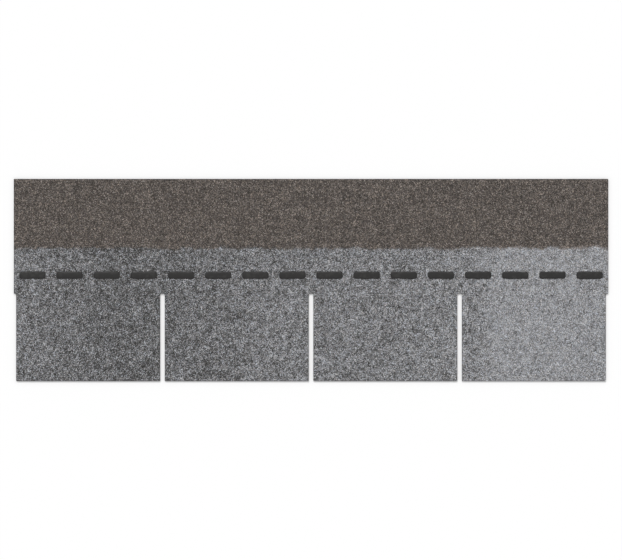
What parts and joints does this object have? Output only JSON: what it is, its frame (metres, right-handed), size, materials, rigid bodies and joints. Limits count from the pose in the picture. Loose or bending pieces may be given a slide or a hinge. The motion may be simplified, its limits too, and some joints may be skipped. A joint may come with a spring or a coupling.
{
  "type": "four-tab asphalt strip shingle",
  "caption": "Flat rectangular asphalt roof shingle strip with square tabs parted by keyway cut-outs, a self-seal line across its face and a release tape on its back.",
  "frame": {"origin": "on the underside, at the middle of the strip's outline", "axes": "+X along the strip, which runs along the eaves; +Y up the slope, from the butt edge with the tabs to the top edge; +Z out of the granule face"},
  "size_m": [1, 0.34, 0.0037],
  "materials": {
    "granule_face": "mineral granules pressed in bitumen, matt and rough",
    "sealant": "smooth black bitumen with a soft gloss",
    "release_tape": "thin slightly wrinkled release film, glossy"
  },
  "bodies": {
    "root": {"shingle_strip": "granule_face", "sealant_dash_01": "sealant", "sealant_dash_02": "sealant", "sealant_dash_03": "sealant", "sealant_dash_04": "sealant", "sealant_dash_05": "sealant", "sealant_dash_06": "sealant", "sealant_dash_07": "sealant", "sealant_dash_08": "sealant", "sealant_dash_09": "sealant", "sealant_dash_10": "sealant", "sealant_dash_11": "sealant", "sealant_dash_12": "sealant", "sealant_dash_13": "sealant", "sealant_dash_14": "sealant", "sealant_dash_15": "sealant", "sealant_dash_16": "sealant", "release_tape": "release_tape"}
  },
  "joints": []
}
